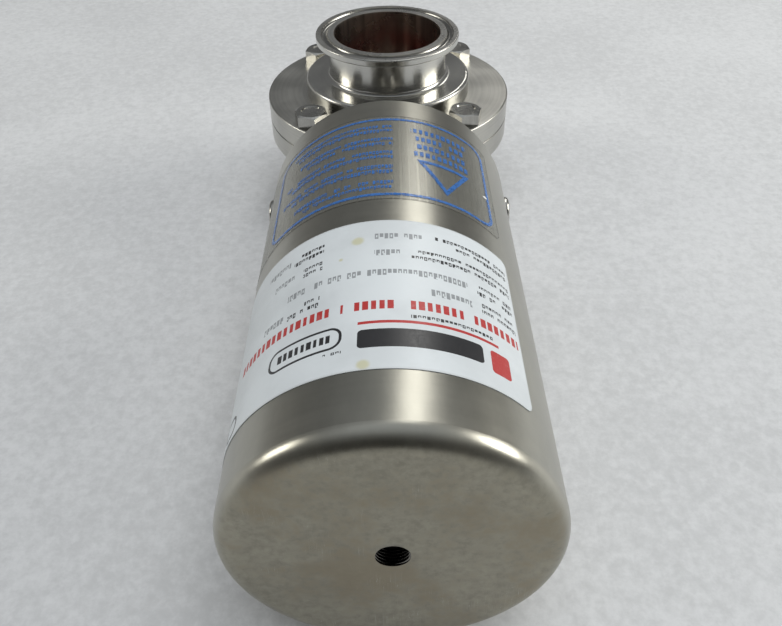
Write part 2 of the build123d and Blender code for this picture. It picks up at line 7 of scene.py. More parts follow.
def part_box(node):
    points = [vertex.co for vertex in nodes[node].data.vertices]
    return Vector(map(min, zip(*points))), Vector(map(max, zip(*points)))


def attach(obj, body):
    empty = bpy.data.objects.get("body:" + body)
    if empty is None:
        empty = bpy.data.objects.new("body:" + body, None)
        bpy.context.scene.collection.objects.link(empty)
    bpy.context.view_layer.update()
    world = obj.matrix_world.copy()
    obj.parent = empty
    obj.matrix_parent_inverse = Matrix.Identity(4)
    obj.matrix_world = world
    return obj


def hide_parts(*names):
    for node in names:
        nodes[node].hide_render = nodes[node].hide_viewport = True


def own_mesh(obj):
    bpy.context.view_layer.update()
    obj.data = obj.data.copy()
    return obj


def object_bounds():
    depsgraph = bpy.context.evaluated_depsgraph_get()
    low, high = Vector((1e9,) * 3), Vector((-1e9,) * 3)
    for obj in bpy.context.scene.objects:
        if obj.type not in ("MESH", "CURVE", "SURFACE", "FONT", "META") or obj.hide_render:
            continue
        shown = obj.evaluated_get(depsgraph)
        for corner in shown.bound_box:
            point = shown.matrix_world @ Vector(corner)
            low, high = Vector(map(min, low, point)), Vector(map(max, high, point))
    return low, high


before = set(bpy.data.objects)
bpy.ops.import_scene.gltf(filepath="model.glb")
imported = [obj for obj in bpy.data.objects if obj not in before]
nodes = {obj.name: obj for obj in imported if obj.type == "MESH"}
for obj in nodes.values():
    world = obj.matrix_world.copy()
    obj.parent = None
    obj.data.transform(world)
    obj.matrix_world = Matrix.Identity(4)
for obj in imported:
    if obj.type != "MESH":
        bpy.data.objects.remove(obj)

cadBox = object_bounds()
print("frame loaded:", len(nodes), "nodes")

# the actuator lies along Y, so most patterns count millimetres from its cap
tubeLow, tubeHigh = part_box("actuator_cylinder")
capY = tubeLow.y
axisZ = (tubeLow.z + tubeHigh.z) / 2
tubeRadius = (tubeHigh.z - tubeLow.z) / 2


camera = {
    "place": (0.00099, -0.34724, 0.20861),
    "pitch": 41.13,
    "yaw": -0.20,
    "roll": 0.88,
    "lens": 36.2,
    "sensor": 36,
    "clip": (0.01, 60),
}


def aimCamera(c):
    pitch, yaw, roll = (math.radians(c[k]) for k in ("pitch", "yaw", "roll"))
    forward = Vector((math.sin(yaw) * math.cos(pitch), math.cos(yaw) * math.cos(pitch), -math.sin(pitch)))
    right = Vector((math.cos(yaw), -math.sin(yaw), 0))
    down = forward.cross(right)
    side = right * math.cos(roll) + down * math.sin(roll)
    drop = -right * math.sin(roll) + down * math.cos(roll)
    bpy.ops.object.camera_add(location=c["place"])
    cam = bpy.context.object
    cam.name = "Camera"
    turn = Matrix((side, -drop, -forward)).transposed()
    cam.matrix_world = Matrix.Translation(c["place"]) @ turn.to_4x4()
    cam.data.lens = c["lens"]
    cam.data.sensor_width = c["sensor"]
    cam.data.clip_start, cam.data.clip_end = c["clip"]
    bpy.context.scene.camera = cam


aimCamera(camera)
print("camera set")


class Wire:
    # a shader value that takes part in sums: each operator adds one Math node
    def __init__(self, tree, socket):
        self.tree = tree
        self.socket = socket

    def maths(self, operation, *values):
        step = self.tree.nodes.new("ShaderNodeMath")
        step.operation = operation
        for place, value in enumerate(values):
            if isinstance(value, Wire):
                self.tree.links.new(value.socket, step.inputs[place])
            else:
                step.inputs[place].default_value = value
        return Wire(self.tree, step.outputs[0])

    def __add__(self, other):
        return self.maths("ADD", self, other)

    def __sub__(self, other):
        return self.maths("SUBTRACT", self, other)

    def __rsub__(self, other):
        return self.maths("SUBTRACT", other, self)

    def __mul__(self, other):
        return self.maths("MULTIPLY", self, other)

    def __truediv__(self, other):
        return self.maths("DIVIDE", self, other)

    def __lt__(self, other):
        return self.maths("LESS_THAN", self, other)

    def __abs__(self):
        return self.maths("ABSOLUTE", self)

    def near(self, middle, reach):
        return self.maths("COMPARE", self, middle, reach)

    def least(self, other):
        return self.maths("MINIMUM", self, other)

    def most(self, other):
        return self.maths("MAXIMUM", self, other)

    def floor(self):
        return self.maths("FLOOR", self)

    def fraction(self):
        return self.maths("FRACT", self)

    def root(self):
        return self.maths("SQRT", self)


class Finish:
    # a material with one Principled shader, plus the Object coordinates in millimetres
    def __init__(self, name, **constants):
        self.material = bpy.data.materials.new(name)
        self.material.use_nodes = True
        self.tree = self.material.node_tree
        self.shader = self.tree.nodes["Principled BSDF"]
        for socket, value in constants.items():
            self.shader.inputs[socket.replace("_", " ")].default_value = value
        self.place = self.node("ShaderNodeTexCoord", output="Object")
        axes = self.node("ShaderNodeSeparateXYZ", inputs={"Vector": self.place}, output=None)
        self.x, self.y, self.z = (self.wire(axes.outputs[k]) * 1000 for k in "XYZ")

    def wire(self, socket):
        return Wire(self.tree, socket)

    def node(self, kind, settings=None, inputs=None, output=0):
        new = self.tree.nodes.new(kind)
        for key, value in (settings or {}).items():
            setattr(new, key, value)
        for key, value in (inputs or {}).items():
            if isinstance(value, Wire):
                self.tree.links.new(value.socket, new.inputs[key])
            else:
                new.inputs[key].default_value = value
        return new if output is None else self.wire(new.outputs[output])

    def feed(self, socket, value):
        self.tree.links.new(value.socket, self.shader.inputs[socket])

    def stretch(self, sx, sy, sz, shift=(0, 0, 0)):
        return self.node("ShaderNodeMapping", {"vector_type": "POINT"},
                         {"Vector": self.place, "Scale": (sx, sy, sz), "Location": shift})

    def noise(self, vector, scale=1, detail=3, rough=0.5):
        return self.node("ShaderNodeTexNoise", None,
                         {"Vector": vector, "Scale": scale, "Detail": detail, "Roughness": rough})

    def tint(self, factor, first, second):
        # colours go through a Mix node: 6 and 7 are its colour sockets, 2 its colour output
        new = self.node("ShaderNodeMix", {"data_type": "RGBA"}, {0: factor}, None)
        for place, value in ((6, first), (7, second)):
            if isinstance(value, Wire):
                self.tree.links.new(value.socket, new.inputs[place])
            else:
                new.inputs[place].default_value = (*value, 1)
        return self.wire(new.outputs[2])

    def smooth(self, value, low, high, fromLow=0.0, fromHigh=1.0):
        # value from fromLow..fromHigh eased to low..high
        return self.node("ShaderNodeMapRange", {"interpolation_type": "SMOOTHSTEP"},
                         {"Value": value, "From Min": fromLow, "From Max": fromHigh,
                          "To Min": low, "To Max": high})

    def mottle(self, shade, colour, dark, light, fromLow=0.35, fromHigh=0.65):
        # one colour that wanders between a darker and a lighter tone of itself
        return self.tint(self.smooth(shade, 0, 1, fromLow, fromHigh), [c * dark for c in colour],
                         [c * light for c in colour])

    def relief(self, height, strength, depth):
        bump = self.node("ShaderNodeBump", None, {"Height": height, "Strength": strength, "Distance": depth})
        self.feed("Normal", bump)

    def scratches(self, turn, scale, width):
        # a few long thin lines in one direction
        tilted = self.node("ShaderNodeMapping", {"vector_type": "POINT"},
                           {"Vector": self.place, "Rotation": turn, "Scale": scale})
        line = self.node("ShaderNodeTexNoise", None, {"Vector": tilted, "Scale": 1, "Detail": 1.0})
        return line.near(0.5, width)


tubeLook = {
    "colour": (0.425, 0.413, 0.362),
    # the cap colour is painted shade: darker steel standing in for the shaded floor that the cap face
    # reflects
    "capShadedColour": (0.335, 0.316, 0.256),
    "capStain": (0.29, 0.25, 0.18),
    "scratch": (0.72, 0.70, 0.64),
    "rough": (0.275, 0.325),
    "brushFineness": 1500,
    "capEdge": (0.3, 3.6),      # millimetres from the cap face
    "relief": (0.20, 0.00003),
}


def brushedTube(look):
    f = Finish("brushedTube", Metallic=1.0)
    brush = f.noise(f.stretch(14, look["brushFineness"], 14), detail=2, rough=0.6)
    streak = f.noise(f.stretch(26, 420, 26, (3, 1, 2)), detail=3, rough=0.6)
    cloud = f.noise(f.stretch(34, 12, 34, (0, 5, 1)), detail=6, rough=0.62)
    blotch = f.noise(f.stretch(120, 50, 120, (7, 1, 4)), detail=5, rough=0.7)
    rust = f.noise(f.stretch(52, 30, 52, (2, 9, 5)), detail=5, rough=0.6)
    fine = f.noise(f.stretch(420, 420, 420, (1, 3, 7)), detail=4, rough=0.65)
    station = f.y - capY * 1000
    capZone = 1 - f.smooth(station, 0, 1, *look["capEdge"])
    # a few hairline scratches on the cap
    rare = f.smooth(f.noise(f.stretch(60, 60, 60, (4, 4, 0)), detail=2), 0, 1, 0.5, 0.66)
    hair = f.scratches((0.2, 0.9, 0.1), (1300, 300, 26), 0.003)
    cross = f.scratches((0.1, -0.5, 0.3), (1500, 300, 30), 0.0026)
    marks = hair.most(cross) * rare * capZone
    # the tube is even, the cap is blotchy and stained, and the cap colour is darkened as painted shade for
    # the shaded floor that the cap face reflects
    shade = cloud * 0.55 + streak * 0.15 + blotch * 0.3
    tubeColour = f.mottle(shade, look["colour"], 0.88, 1.08)
    capShadedColour = f.mottle(shade * 0.55 + fine * 0.45, look["capShadedColour"], 0.78, 1.20, 0.33, 0.67)
    warm = f.smooth(rust * 0.7 + fine * 0.3, 0, 0.75, 0.46, 0.64)
    capShadedColour = f.tint(warm, capShadedColour, look["capStain"])
    both = f.tint(capZone, tubeColour, capShadedColour)
    f.feed("Base Color", f.tint(marks * 0.4, both, look["scratch"]))
    rough = f.smooth(cloud * 0.6 + streak * 0.4, *look["rough"], 0.3, 0.7)
    f.feed("Roughness", rough + capZone * 0.06 + (cloud - 0.5) * 0.12 * capZone)
    height = brush * (1 - capZone * 0.85) + blotch * 0.5 + cloud * 2 * capZone - marks * 0.5
    f.relief(height, *look["relief"])
    return f.material


# heights count from the seam between the halves, radii from the flow axis, in millimetres
bodyLook = {
    "polished": (0.58, 0.57, 0.535),
    "satin": (0.50, 0.49, 0.455),
    "bore": (0.42, 0.38, 0.34),
    # painted shade for the gasket groove; the tool rings on the clamp face take the same dark tone
    "groove": (0.20, 0.195, 0.18),
    # painted shade for the gap between the two halves
    "seam": (0.05, 0.048, 0.044),
    "mirrorRough": 0.15,
    "satinRough": 0.29,
    "flangeTop": (9.0, 10.6),
    "flangeFace": (36.0, 38.2),
    "clampFace": (35.2, 35.6),
    "grooveRadius": 28.2,
    "grooveWidth": (0.9, 1.7),
    "grooveTop": (34.0, 34.6),
    "boreRadius": (23.95, 24.2),
    "seamHeight": (0.15, 0.5),
    "seamRadius": (50, 54),
    "relief": (0.22, 0.00003),
}


def turnedBody(look):
    # turned about the flow axis: the flange is satin, the neck and the clamp ferrule are polished
    f = Finish("turnedBody", Metallic=1.0)
    radius = (f.x * f.x + f.y * f.y).root()
    height = abs(f.z - axisZ * 1000)
    turned = f.node("ShaderNodeCombineXYZ", None, {"X": radius, "Y": height, "Z": 0.0})
    rings = f.noise(turned, scale=9, detail=3, rough=0.7)
    wide = f.noise(turned, scale=1.1, detail=2)
    cloud = f.noise(f.stretch(45, 45, 45), detail=5, rough=0.6)
    flange = 1 - f.smooth(height, 0, 1, *look["flangeTop"])
    satin = flange.most(f.smooth(radius, 0, 1, *look["flangeFace"]))
    face = f.smooth(height, 0, 1, *look["clampFace"])
    shade = cloud * 0.5 + rings * 0.25 + wide * 0.25
    bright = f.mottle(shade, look["polished"], 0.92, 1.07, 0.36, 0.64)
    dull = f.mottle(shade, look["satin"], 0.84, 1.12, 0.36, 0.64)
    metal = f.tint(satin, bright, dull)
    # tool rings on the clamp face, painted shade in the gasket groove, the bore, and painted shade along the
    # line between the halves
    lathe = f.smooth(f.noise(turned, scale=2.6, detail=2, rough=0.6), 0, 0.75, 0.42, 0.6)
    groove = 1 - f.smooth(abs(radius - look["grooveRadius"]), 0, 1, *look["grooveWidth"])
    groove = groove * f.smooth(height, 0, 1, *look["grooveTop"])
    metal = f.tint((lathe * face * 0.30).most(groove * 0.7), metal, look["groove"])
    bore = 1 - f.smooth(radius, 0, 1, *look["boreRadius"])
    drawn = f.smooth(f.noise(f.stretch(260, 260, 6), detail=2), 0.05, 0.9, 0.38, 0.66)
    boreMetal = f.tint(drawn, [c * 0.7 for c in look["bore"]], [c * 1.6 for c in look["bore"]])
    metal = f.tint(bore, metal, boreMetal)
    seam = 1 - f.smooth(height, 0, 1, *look["seamHeight"])
    seam = seam * f.smooth(radius, 0, 1, *look["seamRadius"])
    f.feed("Base Color", f.tint(seam * 0.85, metal, look["seam"]))
    rough = satin.most(bore * 0.5) * (look["satinRough"] - look["mirrorRough"]) + look["mirrorRough"]
    f.feed("Roughness", rough + f.smooth(cloud, 0, 0.07, 0.35, 0.7) + rings * 0.03 + face * 0.08)
    f.relief(rings * (satin * 0.65 + 0.35) + wide * 0.3, *look["relief"])
    return f.material


def plainSteel(name, colour, rough, grain):
    f = Finish(name, Metallic=1.0)
    cloud = f.noise(f.stretch(70, 70, 70), detail=5, rough=0.6)
    lines = f.noise(f.stretch(*grain), detail=3, rough=0.65)
    shade = cloud * 0.6 + lines * 0.4
    f.feed("Base Color", f.mottle(shade, colour, 0.86, 1.1))
    f.feed("Roughness", f.smooth(shade, rough * 0.75, rough * 1.3, 0.35, 0.65))
    f.relief(lines, 0.3, 0.00002)
    return f.material


def softPlastic(name, colour, rough, unevenness=0.10):
    f = Finish(name)
    cloud = f.noise(f.stretch(60, 60, 60), detail=4)
    speck = f.noise(f.stretch(900, 900, 900), detail=2)
    f.feed("Base Color", f.mottle(cloud * 0.6 + speck * 0.4, colour, 1 - unevenness, 1 + unevenness))
    f.feed("Roughness", f.smooth(speck, rough - 0.06, rough + 0.08, 0.3, 0.7))
    f.relief(speck, 0.25, 0.00003)
    return f.material


# print on the two sheets is laid out in degrees round the tube and millimetres from the cap
perDegree = math.radians(1) * tubeRadius * 1000


def tubePlace(f):
    turn = f.node("ShaderNodeMath", {"operation": "ARCTAN2"}, {0: f.x, 1: f.z - axisZ * 1000})
    return turn * math.degrees(1), f.y - capY * 1000


def patch(a, s, box):
    a0, a1, s0, s1 = box
    return a.near((a0 + a1) / 2, (a1 - a0) / 2) * s.near((s0 + s1) / 2, (s1 - s0) / 2)


def edgeGap(a, s, box, corner):
    # millimetres outside the edge of a rounded rectangle, below nought inside it
    a0, a1, s0, s1 = box
    du = abs(a - (a0 + a1) / 2) * perDegree - ((a1 - a0) / 2 * perDegree - corner)
    dv = abs(s - (s0 + s1) / 2) - ((s1 - s0) / 2 - corner)
    du0, dv0 = du.most(0.0), dv.most(0.0)
    return (du0 * du0 + dv0 * dv0).root() + du.most(dv).least(0.0) - corner


def outline(a, s, box, corner, line):
    return edgeGap(a, s, box, corner).near(-line / 2, line / 2)


def spotGap(a, s, spot, narrow=1.0):
    # millimetres from a spot, counted longer along the tube where narrow is above one
    across = (a - spot[0]) * perDegree
    along = s - spot[1]
    return (across * across + along * along * narrow).root()


def dashes(f, a, s, rows, pitch, fullness=0.93, plain=False):
    # rows of little blocks that stand for small print: each row is (a0, a1, s0, s1)
    inside, across, number = 0.0, 0.0, 0.0
    for count, row in enumerate(rows):
        here = patch(a, s, row)
        inside = here + inside
        across = here * ((s - row[2]) / (row[3] - row[2])) + across
        number = here * (count * 7.31 + 1) + number
    cell = a / pitch + number
    spot = f.node("ShaderNodeCombineXYZ", None, {"X": cell.floor(), "Y": number, "Z": 0.0})
    chance = f.node("ShaderNodeTexWhiteNoise", {"noise_dimensions": "3D"}, {"Vector": spot}, "Value")
    along = cell.fraction()
    if plain:
        # larger rows are bare blocks of uneven length
        return inside * along.near(0.5, (chance * 17).fraction() * 0.16 + 0.24) * (chance < fullness)
    block = along.near(0.5, 0.37) * (chance < fullness)
    hole = along.near(0.52, 0.14) * across.near(0.5, 0.2) * ((chance * 7).fraction() < 0.6)
    notch = along.near(0.75, 0.2) * across.near(0.18, 0.14) * ((chance * 13).fraction() < 0.35)
    low = (across < 0.3) * ((chance * 29).fraction() < 0.55)
    return inside * block * (1 - hole.most(notch).most(low))


labelLook = {
    "paper": (0.62, 0.655, 0.675),
    # painted shade along the sheet's edge
    "paintedEdgeShade": (0.25, 0.25, 0.23),
    "ink": (0.018, 0.018, 0.02),
    "red": (0.42, 0.030, 0.028),
    "grey": (0.17, 0.18, 0.19),
    "stain": (0.52, 0.50, 0.30),
    "sheet": (-95, 51.0, 20.9, 80.6),
    "sheetCorner": 2.5,
    "bar": (-10, 31, 28.2, 34.6),
    "barCorner": 1.2,
    "stripe": (-10, 38, 36.6, 37.6),
    "block": (34, 42, 26.8, 34.6),
    "blockCorner": 1.0,
    "badge": (-43, -15, 29.6, 37.4),
    "badgeCorner": 3.4,
    "badgeLine": 0.75,
    "badgeRow": [(-39, -19, 32.2, 34.9)],
    "sideMark": (-72, -61, 22.5, 29),
    "sideCorner": 3.0,
    "sideLine": 0.9,
    "redRow": [(-63, -20, 41.9, 45.2), (-16, 2, 41.9, 45.2), (6, 49, 41.9, 45.2)],
    "captions": [(7, 36, 38.6, 39.8), (-21, -15, 27.6, 28.5), (33, 49, 47.5, 49.2), (33, 49, 50.2, 51.8),
                 (32, 49, 54.8, 56.4), (33, 49, 57.5, 59.0), (8, 49, 62.6, 64.2), (10, 49, 65.3, 66.8),
                 (24, 49, 70.3, 71.9), (16, 49, 73.0, 74.5), (-37, -24, 47.3, 49.2), (-30, -24, 50.2, 51.7),
                 (-32, -24, 62.8, 64.3), (-32, -24, 65.2, 66.7), (-37, -24, 70.2, 71.9),
                 (-34, -24, 72.8, 74.4)],
    "values": [(14, 29, 48.2, 50.8), (-38, 28, 55.4, 57.9), (-5, 4, 64.0, 66.5), (-5, 12, 71.6, 74.1),
               (-49, -39, 48.2, 50.6), (-46, -36, 64.0, 66.4), (-51, -39, 71.6, 74.0)],
    "stains": [(-8, 22.6, 1.7), (-11, 71.5, 1.9), (-17, 64.5, 0.9)],      # place and size
}


def printedLabel(look):
    f = Finish("printedLabel", Coat_Weight=0.15, Coat_Roughness=0.25)
    a, s = tubePlace(f)
    cloud = f.noise(f.stretch(40, 40, 40), detail=5, rough=0.6)
    grain = f.noise(f.stretch(1500, 1500, 1500), detail=2)
    paper = f.mottle(cloud, look["paper"], 0.93, 1.05)
    stain = 0.0
    for *spot, size in look["stains"]:
        far = spotGap(a, s, spot)
        stain = (1 - f.smooth(far + cloud * 2 - 1, 0, 1, size * 0.5, size * 1.2)).most(stain)
    paper = f.tint(stain * 0.75, paper, look["stain"])
    # painted shade darkens the paper along the sheet's edge
    edge = edgeGap(a, s, look["sheet"], look["sheetCorner"])
    paper = f.tint(f.smooth(edge + cloud * 0.8, 0, 0.45, -0.5, 0.9), paper, look["paintedEdgeShade"])
    # a plain black bar, a thin red line above it and a red block beside it
    bar = edgeGap(a, s, look["bar"], look["barCorner"]) < 0.0
    stripe = patch(a, s, look["stripe"])
    block = edgeGap(a, s, look["block"], look["blockCorner"]) < 0.0
    badge = outline(a, s, look["badge"], look["badgeCorner"], look["badgeLine"])
    badgeRow = dashes(f, a, s, look["badgeRow"], 2.3, 0.97, True)
    sideMark = outline(a, s, look["sideMark"], look["sideCorner"], look["sideLine"])
    black = bar.most(badge).most(badgeRow).most(dashes(f, a, s, look["captions"], 1.5)).most(sideMark)
    red = stripe.most(block).most(dashes(f, a, s, look["redRow"], 2.75, 0.94, True))
    grey = dashes(f, a, s, look["values"], 1.75)
    worn = f.smooth(f.noise(f.stretch(700, 700, 700), detail=3), 0.93, 1.0, 0.3, 0.45)
    paper = f.tint(grey * worn * 0.8, paper, look["grey"])
    paper = f.tint(red * worn, paper, look["red"])
    f.feed("Base Color", f.tint(black, paper, look["ink"]))
    f.feed("Roughness", f.smooth(grain, 0.38, 0.5, 0.3, 0.7) - black * 0.08)
    f.relief(grain * 0.5 + cloud * 2, 0.2, 0.00005)
    return f.material


filmLook = {
    "blue": (0.045, 0.16, 0.46),
    "clear": (0.30, 0.30, 0.27),
    # painted shade along the film's edge
    "rim": (0.07, 0.065, 0.055),
    "torn": (0.8, 0.8, 0.78),
    "sheet": (-79, 50.5, 91.9, 144.0),
    "sheetCorner": 2.5,
    "frame": (-57.5, 47.3, 93.8, 142.2),
    "frameCorner": 6.0,
    "frameLine": 1.25,
    "rows": [(-37, 2, 97.3, 99.2), (-42, 2, 100.2, 102.1), (-45, 2, 106.4, 108.4), (-51, 2, 109.4, 111.4),
             (-46, 2, 115.2, 117.2), (-50, 2, 118.2, 120.2), (-38, 2, 123.8, 125.8), (-42, 2, 126.8, 128.8),
             (-44, 2, 132.6, 134.6), (-47, 2, 135.6, 137.4)],
    "short": [(11, 36, 118.4, 121.2), (12, 35, 123.3, 126.1), (12, 35, 128.4, 131.2),
              (10, 37, 133.4, 136.2)],
    "triangle": (24.0, 98.6, 116.2, 12.4),      # middle, apex, base and half its width in degrees
    "triangleLine": (0.85, 0.75),
    "nick": (44.6, 111.6),
}


def printedFilm(look):
    f = Finish("printedFilm", IOR=1.45)
    a, s = tubePlace(f)
    middle, apex, base, half = look["triangle"]
    tall, wide = base - apex, half * perDegree
    lean = math.hypot(tall, wide)
    side = (s - apex) * (wide / lean) - abs(a - middle) * (perDegree * tall / lean)
    triangle = side.least(base - s).near(*look["triangleLine"])
    blue = outline(a, s, look["frame"], look["frameCorner"], look["frameLine"]).most(triangle)
    blue = blue.most(dashes(f, a, s, look["rows"], 1.45, 0.9))
    blue = blue.most(dashes(f, a, s, look["short"], 2.6, 0.9, True))
    patchy = f.smooth(f.noise(f.stretch(900, 900, 900), detail=3), 0.55, 1.0, 0.38, 0.52)
    # painted shade: the film is darker and less see-through just inside its edge
    rim = f.smooth(edgeGap(a, s, look["sheet"], look["sheetCorner"]), 0, 1, -0.45, -0.05)
    nick = spotGap(a, s, look["nick"], 2.6)
    torn = nick + f.noise(f.stretch(900, 900, 900), detail=2) * 2 < 2.0
    colour = f.tint(rim, look["clear"], look["rim"])
    colour = f.tint(blue, colour, look["blue"])
    f.feed("Base Color", f.tint(torn, colour, look["torn"]))
    cloud = f.noise(f.stretch(90, 90, 90), detail=4)
    clear = cloud * 0.06 + 0.10
    f.feed("Alpha", (blue * patchy * 0.85).most(clear).most(rim * 0.35).most(torn * 0.9))
    f.feed("Roughness", f.smooth(cloud, 0.16, 0.28, 0.35, 0.65))
    f.relief(cloud, 0.15, 0.0001)
    return f.material


finishes = {
    "tube": brushedTube(tubeLook),
    "body": turnedBody(bodyLook),
    "bolt": plainSteel("boltSteel", (0.46, 0.45, 0.42), 0.20, (900, 900, 120)),
    "bracket": plainSteel("bracketSteel", (0.50, 0.49, 0.46), 0.30, (60, 60, 1200)),
    "plug": plainSteel("plugSteel", (0.52, 0.51, 0.48), 0.26, (40, 1600, 40)),
    "shaft": plainSteel("shaftSteel", (0.60, 0.59, 0.56), 0.18, (60, 1800, 60)),
    "disc": plainSteel("discSteel", (0.36, 0.32, 0.28), 0.22, (500, 60, 500)),
    # painted shade: a dark steel for the inside of the air port's thread
    "thread": plainSteel("shadedThreadSteel", (0.20, 0.19, 0.17), 0.20, (900, 900, 900)),
    "spring": plainSteel("springSteel", (0.22, 0.22, 0.23), 0.36, (700, 700, 700)),
    "piston": plainSteel("pistonMetal", (0.72, 0.72, 0.70), 0.30, (40, 1500, 40)),
    "bronze": plainSteel("bushBronze", (0.62, 0.42, 0.20), 0.38, (900, 900, 900)),
    "white": softPlastic("bearingPlastic", (0.78, 0.77, 0.72), 0.42),
    "red": softPlastic("redSilicone", (0.17, 0.013, 0.009), 0.40, 0.15),
    "black": softPlastic("blackRubber", (0.022, 0.022, 0.023), 0.52, 0.25),
    "label": printedLabel(labelLook),
    "film": printedFilm(filmLook),
}

wears = {
    "tube": ["actuator_cylinder"],
    "body": ["upper_body_half", "lower_body_half"],
    "bolt": ["body_bolts", "body_washers", "body_nuts", "bracket_screws", "foot_screws", "side_screws",
             "sleeve_screws", "retaining_ring"],
    "bracket": ["mounting_bracket"],
    "plug": ["end_plug", "spring_seat", "guide_sleeve"],
    "shaft": ["output_shaft", "drive_coupling", "cross_pin", "pin_rollers"],
    "disc": ["butterfly_disc"],
    "piston": ["piston"],
    "bronze": ["breather", "drive_stem_bush", "tail_stem_bush", "shaft_bush"],
    "white": ["piston_guide_ring", "thrust_washer"],
    "red": ["seat_ring"],
    "black": ["stem_o_rings", "end_plug_o_ring", "shaft_seal", "piston_seal"],
    "label": ["data_label"],
    "film": ["caution_film"],
}


def wear(piece, finish):
    for socket in piece.material_slots:
        socket.material = finish
    if not piece.material_slots:
        piece.data.materials.append(finish)


for finishName, names in wears.items():
    for name in names:
        wear(nodes[name], finishes[finishName])
print("finishes on", sum(len(n) for n in wears.values()), "nodes")


def clearSelection():
    if bpy.context.object and bpy.context.object.mode != "OBJECT":
        bpy.ops.object.mode_set(mode="OBJECT")
    bpy.ops.object.select_all(action="DESELECT")


def finishPiece(piece, name, finish, smoothAngle=30):
    bpy.ops.object.mode_set(mode="OBJECT")
    piece.name = name
    piece.data.name = name
    bpy.ops.object.transform_apply(location=True, rotation=True, scale=True)
    bpy.ops.object.shade_smooth_by_angle(angle=math.radians(smoothAngle))
    piece.data.materials.clear()
    piece.data.materials.append(finish)
    return piece


def applyModifiers(piece):
    for modifier in list(piece.modifiers):
        bpy.ops.object.modifier_apply(modifier=modifier.name)


def pickEdges(piece, test):
    # select mesh edges whose two ends pass the test
    bpy.ops.object.mode_set(mode="OBJECT")
    for part in (piece.data.polygons, piece.data.edges, piece.data.vertices):
        part.foreach_set("select", [False] * len(part))
    for edge in piece.data.edges:
        edge.select = all(test(piece.data.vertices[v].co) for v in edge.vertices)
    bpy.ops.object.mode_set(mode="EDIT")
    bpy.ops.mesh.select_mode(type="EDGE")


# how far apart two vertices may be and still be joined, and how near a cut counts as on the plane
weld, fineWeld, cutReach = 1e-6, 1e-7, 1e-8

port = {
    "crest": 0.00428,
    "root": 0.00482,
    "pitch": 0.000907,
    "tooth": ((0, 0.12), (1, 0.32), (0, 0.10), (-1, 0.32), (0, 0.14)),     # shares of depth and pitch
    "early": 1.37,              # turns that the thread starts before the cap face
    "turns": 12,
    "steps": 48,
    "spigot": 0.0065,
    "shoulder": 0.009,
    "ledge": 2e-6,              # the step from spigot to shoulder
    "slackY": 5e-7,
    "slackRadius": 1e-5,
    "flat": 0.98,               # faces squarer to the axis than this aren't thread
}


def onRing(co, ring, p):
    y, radius = ring
    return abs(co.y - y) < p["slackY"] and abs(math.hypot(co.x, co.z) - radius) < p["slackRadius"]


def inThread(co, ring, p):
    return abs(co.y - ring[0]) < p["slackY"] and math.hypot(co.x, co.z) < p["root"] + p["slackRadius"]


def cutPort(p):
    low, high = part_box("air_port_boss")
    front, back = low.y, high.y
    spigotEnd = front + (back - front) / 3
    # the outline of one turn, wound up into a thread
    clearSelection()
    bpy.ops.mesh.primitive_plane_add(size=0.001, location=(0, 0, 0))
    piece = bpy.context.object
    bpy.ops.object.mode_set(mode="EDIT")
    bpy.ops.mesh.merge(type="CENTER")
    depth, pitch = p["root"] - p["crest"], p["pitch"]
    bpy.ops.transform.translate(value=(p["crest"], front - pitch * p["early"], 0))
    for dx, dy in p["tooth"]:
        bpy.ops.mesh.extrude_vertices_move(TRANSFORM_OT_translate={"value": (dx * depth, dy * pitch, 0)})
    bpy.ops.object.mode_set(mode="OBJECT")
    screw = piece.modifiers.new("thread", "SCREW")
    screw.axis = "Y"
    screw.screw_offset = pitch
    screw.iterations = p["turns"]
    screw.steps = p["steps"]
    screw.render_steps = p["steps"]
    screw.use_merge_vertices = False
    applyModifiers(piece)
    bpy.ops.object.mode_set(mode="EDIT")
    bpy.ops.mesh.select_all(action="SELECT")
    bpy.ops.mesh.remove_doubles(threshold=weld)
    for plane, outer in ((front, False), (back, True)):
        bpy.ops.mesh.select_all(action="SELECT")
        bpy.ops.mesh.bisect(plane_co=(0, plane, 0), plane_no=(0, 1, 0), clear_inner=not outer,
                            clear_outer=outer, threshold=cutReach)
    # the outside: spigot through the cap, then the wider shoulder behind it
    loops = ((front, p["spigot"]), (spigotEnd, p["spigot"]), (spigotEnd + p["ledge"], p["shoulder"]),
             (back, p["shoulder"]))
    for y, radius in loops:
        bpy.ops.mesh.primitive_circle_add(vertices=p["steps"], radius=radius, fill_type="NOTHING",
                                          location=(0, y, 0), rotation=(math.pi / 2, 0, 0))
    for first, second in zip(loops, loops[1:]):
        pickEdges(piece, lambda co: onRing(co, first, p) or onRing(co, second, p))
        bpy.ops.mesh.bridge_edge_loops()
    for end in (loops[0], loops[-1]):
        pickEdges(piece, lambda co: onRing(co, end, p) or inThread(co, end, p))
        bpy.ops.mesh.bridge_edge_loops()
    bpy.ops.mesh.select_all(action="SELECT")
    bpy.ops.mesh.remove_doubles(threshold=fineWeld)
    bpy.ops.mesh.normals_make_consistent(inside=False)
    bpy.ops.transform.translate(value=(0, 0, axisZ))
    finishPiece(piece, "threaded_port", finishes["tube"])
    # the inner thread faces take the dark steel as painted shade inside the port
    piece.data.materials.append(finishes["thread"])
    for side in piece.data.polygons:
        inward = math.hypot(side.center.x, side.center.z - axisZ) < p["root"]
        side.material_index = 1 if inward and abs(side.normal.y) < p["flat"] else 0
    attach(piece, "casing")
    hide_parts("air_port_boss")
    return piece


threadedPort = cutPort(port)
print("air port:", len(threadedPort.data.polygons), "faces")


wireSides = 20
coilSteps = 56
springs = {
    "outer_spring": {"wire": 0.00275, "turns": 7.5, "hand": 1, "name": "outer_coil"},
    "inner_spring": {"wire": 0.0020, "turns": 9.5, "hand": -1, "name": "inner_coil"},
}


